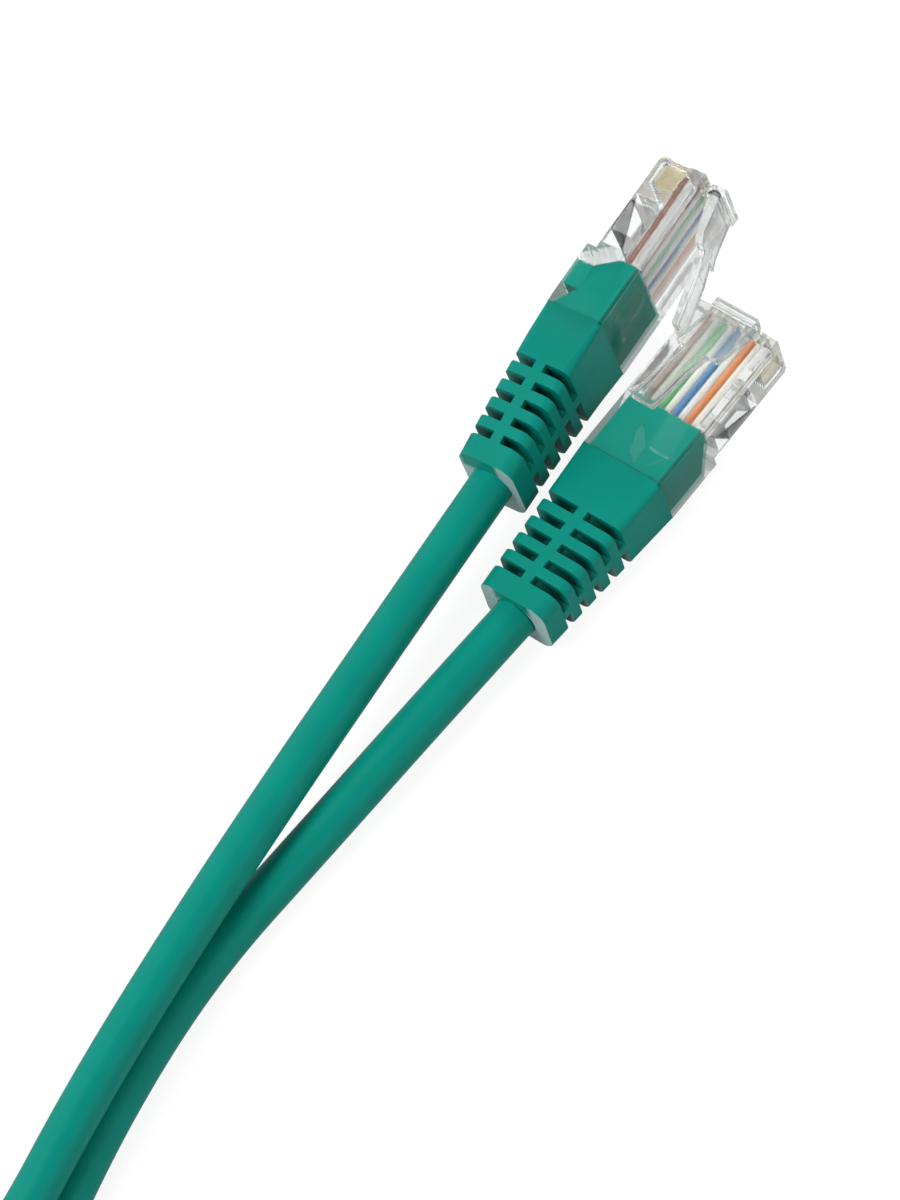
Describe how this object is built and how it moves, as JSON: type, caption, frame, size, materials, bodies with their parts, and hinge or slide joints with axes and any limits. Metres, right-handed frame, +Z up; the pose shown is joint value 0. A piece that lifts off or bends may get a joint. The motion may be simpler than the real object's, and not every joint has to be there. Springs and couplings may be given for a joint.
{
  "type": "ethernet patch cable",
  "caption": "Round-jacket patch cable with a clear modular plug, sprung latch and moulded strain-relief boot at each end.",
  "frame": {"origin": "centre of the two plugs' common footprint on the surface they lie on", "axes": "+Z up, +Y towards the noses of the plugs, +X to the right of the plug that lies flat"},
  "size_m": [0.0683, 0.2337, 0.0162],
  "materials": {
    "clear_housing": "clear moulded polycarbonate",
    "clear_latch": "clear moulded polycarbonate, slightly milky",
    "gold_contact": "gold-plated stamped phosphor bronze",
    "copper": "bare copper strands",
    "inner_overmould": "soft green moulding",
    "boot": "satin soft PVC",
    "jacket": "satin extruded PVC",
    "wire_white_orange": "extruded polyethylene",
    "wire_orange": "extruded polyethylene",
    "wire_white_green": "extruded polyethylene",
    "wire_blue": "extruded polyethylene",
    "wire_white_blue": "extruded polyethylene",
    "wire_green": "extruded polyethylene",
    "wire_white_brown": "extruded polyethylene",
    "wire_brown": "extruded polyethylene"
  },
  "bodies": {
    "cable": {"housing_a": "clear_housing", "contact_1_a": "gold_contact", "contact_2_a": "gold_contact", "contact_3_a": "gold_contact", "contact_4_a": "gold_contact", "contact_5_a": "gold_contact", "contact_6_a": "gold_contact", "contact_7_a": "gold_contact", "contact_8_a": "gold_contact", "wire_white_orange_a": "wire_white_orange", "wire_orange_a": "wire_orange", "wire_white_green_a": "wire_white_green", "wire_blue_a": "wire_blue", "wire_white_blue_a": "wire_white_blue", "wire_green_a": "wire_green", "wire_white_brown_a": "wire_white_brown", "wire_brown_a": "wire_brown", "copper_cores_a": "copper", "inner_overmould_a": "inner_overmould", "boot_a": "boot", "jacket_end_a": "jacket", "housing_b": "clear_housing", "contact_1_b": "gold_contact", "contact_2_b": "gold_contact", "contact_3_b": "gold_contact", "contact_4_b": "gold_contact", "contact_5_b": "gold_contact", "contact_6_b": "gold_contact", "contact_7_b": "gold_contact", "contact_8_b": "gold_contact", "wire_white_orange_b": "wire_white_orange", "wire_orange_b": "wire_orange", "wire_white_green_b": "wire_white_green", "wire_blue_b": "wire_blue", "wire_white_blue_b": "wire_white_blue", "wire_green_b": "wire_green", "wire_white_brown_b": "wire_white_brown", "wire_brown_b": "wire_brown", "copper_cores_b": "copper", "inner_overmould_b": "inner_overmould", "boot_b": "boot", "jacket_end_b": "jacket", "jacket_leg_a": "jacket", "jacket_leg_b": "jacket", "jacket_coil": "jacket"},
    "latch_a": {"latch_lever_a": "clear_latch"},
    "latch_b": {"latch_lever_b": "clear_latch"}
  },
  "joints": [
    {"name": "latch_a_press", "type": "hinge", "parent": "cable", "child": "latch_a", "pos_m": [-0.00399, 0.02662, 0.01037], "axis": [0.0329, 0.0286, -0.999], "range_deg": [0, 14], "stiffness_Nm_per_rad": 0.02},
    {"name": "latch_b_press", "type": "hinge", "parent": "cable", "child": "latch_b", "pos_m": [0.00619, 0.01542, 0.00895], "axis": [1, 0, 0], "range_deg": [0, 14], "stiffness_Nm_per_rad": 0.02}
  ]
}
